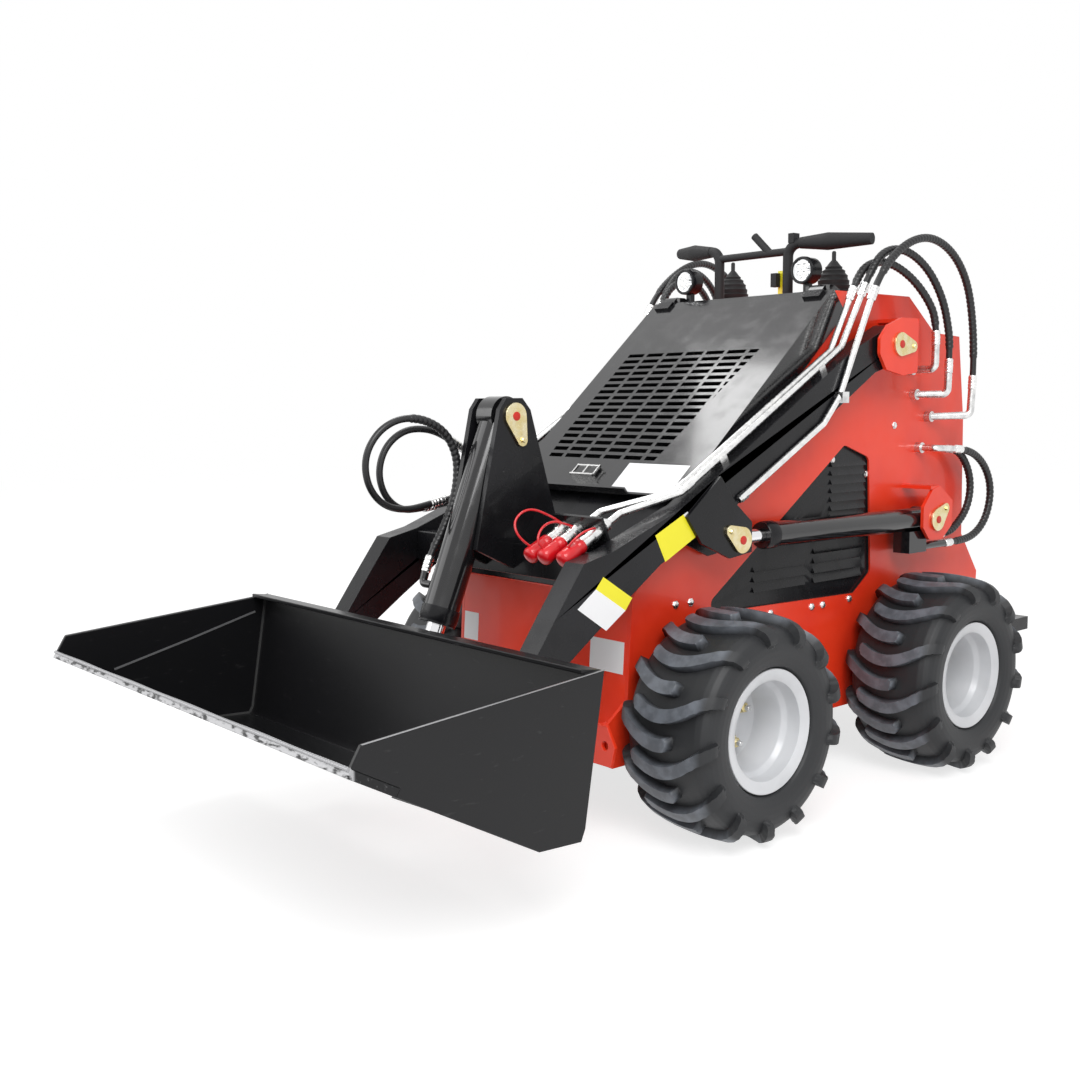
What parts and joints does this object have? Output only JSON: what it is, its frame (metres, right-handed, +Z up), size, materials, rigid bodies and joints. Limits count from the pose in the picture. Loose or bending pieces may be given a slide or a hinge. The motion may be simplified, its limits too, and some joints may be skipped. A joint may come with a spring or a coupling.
{
  "type": "stand-on mini skid steer loader",
  "caption": "Compact stand-on skid steer loader with driven wheels, lift arms, tilt cylinder, dirt bucket, slotted hood and folding rear step.",
  "frame": {"origin": "on the ground below the middle of the machine's outline seen from above", "axes": "+Z up, -Y the machine's front, +X its left side; the wheels turn about X"},
  "size_m": [1.1, 2.446, 1.2616],
  "materials": {
    "red_paint": "glossy red-orange enamel",
    "black_paint": "glossy black enamel",
    "zinc": "zinc-plated steel",
    "yellow_zinc": "yellow-passivated zinc plate",
    "chrome_rod": "hard chrome",
    "edge_steel": "worn edge steel",
    "tyre_rubber": "charcoal rubber",
    "rim_paint": "silver enamel",
    "hose_rubber": "black rubber",
    "grip_rubber": "matt black rubber",
    "red_plastic": "red plastic caps",
    "cast": "dark casting",
    "lamp": "black housing with a clear lens"
  },
  "bodies": {
    "chassis": {"side_plate_left": "red_paint", "side_plate_right": "red_paint", "chassis_pins": "yellow_zinc", "belly_pan": "red_paint", "front_panel": "red_paint", "rear_panel": "red_paint", "top_deck": "red_paint", "lower_hood": "black_paint", "vent_panels": "black_paint", "engine_block": "cast", "hood_hinge": "black_paint", "wheel_motors": "cast", "step_bracket": "red_paint", "grab_handles": "grip_rubber", "control_levers": "grip_rubber", "work_lamps": "lamp", "hose_fittings": "zinc", "rear_hose_left_1": "hose_rubber", "rear_hose_left_2": "hose_rubber", "rear_hose_left_3": "hose_rubber", "rear_hose_right_1": "hose_rubber", "rear_hose_right_2": "hose_rubber", "rear_hose_right_3": "hose_rubber", "lift_hose_left_1": "hose_rubber", "lift_hose_left_2": "hose_rubber", "lift_hose_right_1": "hose_rubber", "lift_hose_right_2": "hose_rubber"},
    "hood": {"hood_panel": "black_paint"},
    "platform": {"platform": "black_paint"},
    "arms": {"arm_left": "black_paint", "arm_right": "black_paint", "cross_tube": "black_paint", "tilt_tower": "black_paint", "arm_pins": "yellow_zinc", "tower_fittings": "zinc", "arm_tubes": "zinc", "coupler_tubes": "zinc", "coupler_bracket": "black_paint", "quick_couplers": "red_plastic", "tilt_hose_1": "hose_rubber", "tilt_hose_2": "hose_rubber"},
    "lift_barrel_left": {"lift_barrel_left": "black_paint"},
    "lift_barrel_right": {"lift_barrel_right": "black_paint"},
    "lift_rod_left": {"lift_rod_left": "chrome_rod"},
    "lift_rod_right": {"lift_rod_right": "chrome_rod"},
    "tilt_barrel": {"tilt_barrel": "black_paint"},
    "tilt_rod": {"tilt_rod": "chrome_rod"},
    "bucket": {"bucket_shell": "black_paint", "cutting_edge": "edge_steel", "attach_plate": "black_paint"},
    "wheel_front_left": {"tyre_front_left": "tyre_rubber", "rim_front_left": "rim_paint"},
    "wheel_front_right": {"tyre_front_right": "tyre_rubber", "rim_front_right": "rim_paint"},
    "wheel_rear_left": {"tyre_rear_left": "tyre_rubber", "rim_rear_left": "rim_paint"},
    "wheel_rear_right": {"tyre_rear_right": "tyre_rubber", "rim_rear_right": "rim_paint"}
  },
  "joints": [
    {"name": "wheel_front_left_spin", "type": "hinge", "parent": "chassis", "child": "wheel_front_left", "pos_m": [0.396, -0.233, 0.229], "axis": [1, 0, 0], "continuous": true},
    {"name": "wheel_front_right_spin", "type": "hinge", "parent": "chassis", "child": "wheel_front_right", "pos_m": [-0.396, -0.233, 0.229], "axis": [1, 0, 0], "continuous": true},
    {"name": "wheel_rear_left_spin", "type": "hinge", "parent": "chassis", "child": "wheel_rear_left", "pos_m": [0.396, 0.499, 0.229], "axis": [1, 0, 0], "continuous": true},
    {"name": "wheel_rear_right_spin", "type": "hinge", "parent": "chassis", "child": "wheel_rear_right", "pos_m": [-0.396, 0.499, 0.229], "axis": [1, 0, 0], "continuous": true},
    {"name": "hood_hinge", "type": "hinge", "parent": "chassis", "child": "hood", "pos_m": [0, 0.253, 1.113], "axis": [-1, 0, 0], "range_deg": [0, 60]},
    {"name": "platform_fold", "type": "hinge", "parent": "chassis", "child": "platform", "pos_m": [0, 0.923, 0.232], "axis": [1, 0, 0], "range_deg": [0, 85]},
    {"name": "lift", "type": "hinge", "parent": "chassis", "child": "arms", "pos_m": [0, 0.39, 0.988], "axis": [-1, 0, 0], "range_deg": [-5, 65], "deforming": ["rear_hose_left_1", "rear_hose_left_2", "rear_hose_left_3", "rear_hose_right_1", "rear_hose_right_2", "rear_hose_right_3"]},
    {"name": "tilt", "type": "hinge", "parent": "arms", "child": "bucket", "pos_m": [0, -0.667, 0.215], "axis": [1, 0, 0], "range_deg": [-4, 115]},
    {"name": "tilt_barrel_swing", "type": "hinge", "parent": "arms", "child": "tilt_barrel", "pos_m": [0, -0.501, 0.836], "axis": [-1, 0, 0], "range_deg": [-1, 1], "deforming": ["tilt_hose_1"]},
    {"name": "tilt_rod_slide", "type": "slide", "parent": "tilt_barrel", "child": "tilt_rod", "axis": [0, -0.3739, -0.9275], "range_m": [-0.0078, 0.214]},
    {"name": "lift_barrel_left_swing", "type": "hinge", "parent": "chassis", "child": "lift_barrel_left", "pos_m": [0, 0.562, 0.577], "axis": [-1, 0, 0], "range_deg": [-3.6, 43.8], "deforming": ["lift_hose_left_1", "lift_hose_left_2"]},
    {"name": "lift_rod_left_slide", "type": "slide", "parent": "lift_barrel_left", "child": "lift_rod_left", "axis": [0, -1, 0.0084], "range_m": [-0.03, 0.372]},
    {"name": "lift_barrel_right_swing", "type": "hinge", "parent": "chassis", "child": "lift_barrel_right", "pos_m": [0, 0.562, 0.577], "axis": [-1, 0, 0], "range_deg": [-3.6, 43.8], "deforming": ["lift_hose_right_1", "lift_hose_right_2"]},
    {"name": "lift_rod_right_slide", "type": "slide", "parent": "lift_barrel_right", "child": "lift_rod_right", "axis": [0, -1, 0.0084], "range_m": [-0.03, 0.372]}
  ],
  "couplings": [
    {"joint": "tilt_barrel_swing", "follows": "tilt", "ratio": 0.005},
    {"joint": "tilt_rod_slide", "follows": "tilt", "m_per_rad": 0.106},
    {"joint": "lift_barrel_left_swing", "follows": "lift", "ratio": 0.67},
    {"joint": "lift_rod_left_slide", "follows": "lift", "m_per_rad": 0.326},
    {"joint": "lift_barrel_right_swing", "follows": "lift", "ratio": 0.67},
    {"joint": "lift_rod_right_slide", "follows": "lift", "m_per_rad": 0.326}
  ]
}
